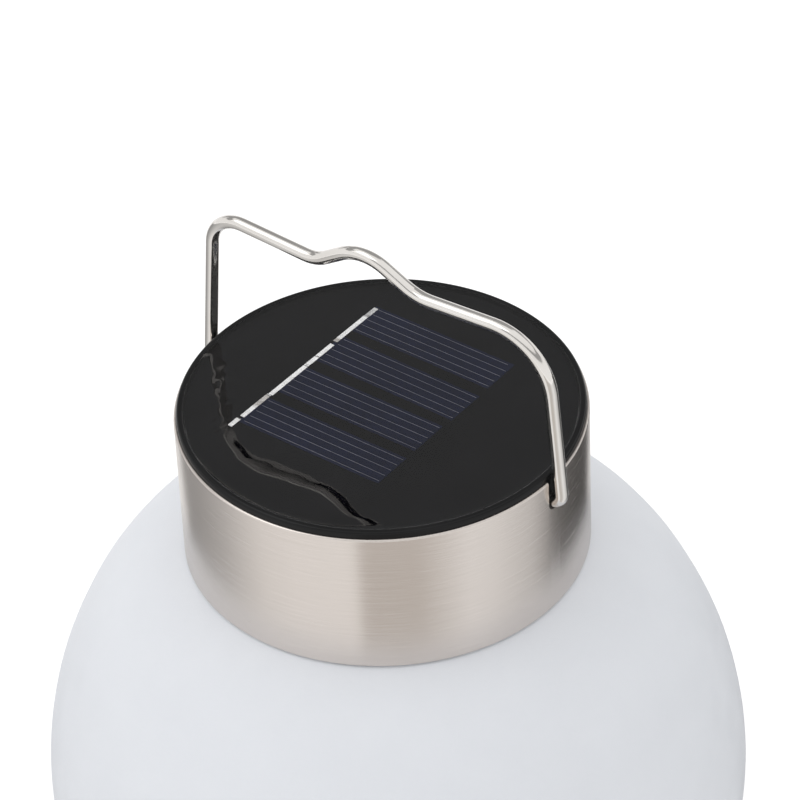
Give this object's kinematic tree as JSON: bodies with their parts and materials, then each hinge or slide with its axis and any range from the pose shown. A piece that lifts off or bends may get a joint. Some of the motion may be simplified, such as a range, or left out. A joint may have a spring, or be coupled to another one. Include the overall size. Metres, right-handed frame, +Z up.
{
  "type": "solar jar lantern",
  "caption": "Frosted globe jar lantern with a screw-on solar lid, a brushed steel collar, a lamp and cell housed under the lid, and a bent wire bail to hang it by.",
  "frame": {"origin": "centre of the jar's base, on the plane that the lantern rests on", "axes": "+Z up through the jar's axis, +X along the bail's pivot, +Y square to both; the solar strips run along X and are stacked along Y"},
  "size_m": [0.16, 0.16, 0.2119],
  "materials": {
    "frosted_glass": "milky frosted glass, matt",
    "silicone": "translucent silicone",
    "brushed_steel": "fine brushing around the sleeve",
    "black_plastic": "gloss black moulding",
    "board_black": "black solder mask",
    "tinned_ribbon": "tinned copper ribbon",
    "clear_resin": "clear poured resin, glossy and slightly uneven",
    "white_plastic": "white moulding",
    "screw_steel": "plated steel",
    "cell_sleeve": "plain green sleeve",
    "contact_nickel": "nickel plate",
    "circuit_board": "green solder mask",
    "chip_black": "moulded epoxy",
    "choke_dark": "ferrite under shrink sleeve",
    "lamp_body": "warm white lamp epoxy",
    "lens_frost": "frosted diffuser",
    "switch_case": "folded steel case",
    "switch_knob": "black knob",
    "lead_red": "soft insulation",
    "lead_black": "soft insulation",
    "bail_wire": "bright nickel-plated steel wire",
    "silicon": "dark blue silicon cell"
  },
  "bodies": {
    "jar": {"globe_jar": "frosted_glass"},
    "seal": {"neck_gasket": "silicone"},
    "lid": {"steel_collar": "brushed_steel", "lid_shell": "black_plastic", "solar_board": "board_black", "tab_ribbons": "tinned_ribbon", "resin_cap": "clear_resin", "light_housing": "white_plastic", "housing_screws": "screw_steel", "housing_cover": "white_plastic", "cover_screws": "screw_steel", "battery_door": "white_plastic", "door_screw": "screw_steel", "battery_cell": "cell_sleeve", "contact_spring": "contact_nickel", "spring_plate": "contact_nickel", "nub_plate": "contact_nickel", "control_board": "circuit_board", "board_screws": "screw_steel", "driver_chip": "chip_black", "choke_coil": "choke_dark", "led_lamp": "lamp_body", "led_lens": "lens_frost", "switch_body": "switch_case", "panel_lead_red": "lead_red", "panel_lead_black": "lead_black", "battery_lead_red": "lead_red", "battery_lead_black": "lead_black", "solar_strip_1": "silicon", "solar_strip_2": "silicon", "solar_strip_3": "silicon", "solar_strip_4": "silicon"},
    "switch": {"switch_slider": "switch_knob"},
    "bail": {"bail_handle": "bail_wire"}
  },
  "joints": [
    {"name": "lid_lift", "type": "slide", "parent": "jar", "child": "seal", "axis": [0, 0, 1], "range_m": [0, 0.00563]},
    {"name": "lid_turn", "type": "hinge", "parent": "seal", "child": "lid", "pos_m": [0, 0, 0.161], "axis": [0, 0, 1], "range_deg": [0, 405]},
    {"name": "bail_swing", "type": "hinge", "parent": "lid", "child": "bail", "pos_m": [0, 0, 0.165], "axis": [1, 0, 0], "range_deg": [-76, 76]},
    {"name": "switch_slide", "type": "slide", "parent": "lid", "child": "switch", "axis": [1, 0, 0], "range_m": [0, 0.002]}
  ],
  "couplings": [
    {"joint": "lid_lift", "follows": "lid_turn", "m_per_rad": 0.00079577}
  ]
}
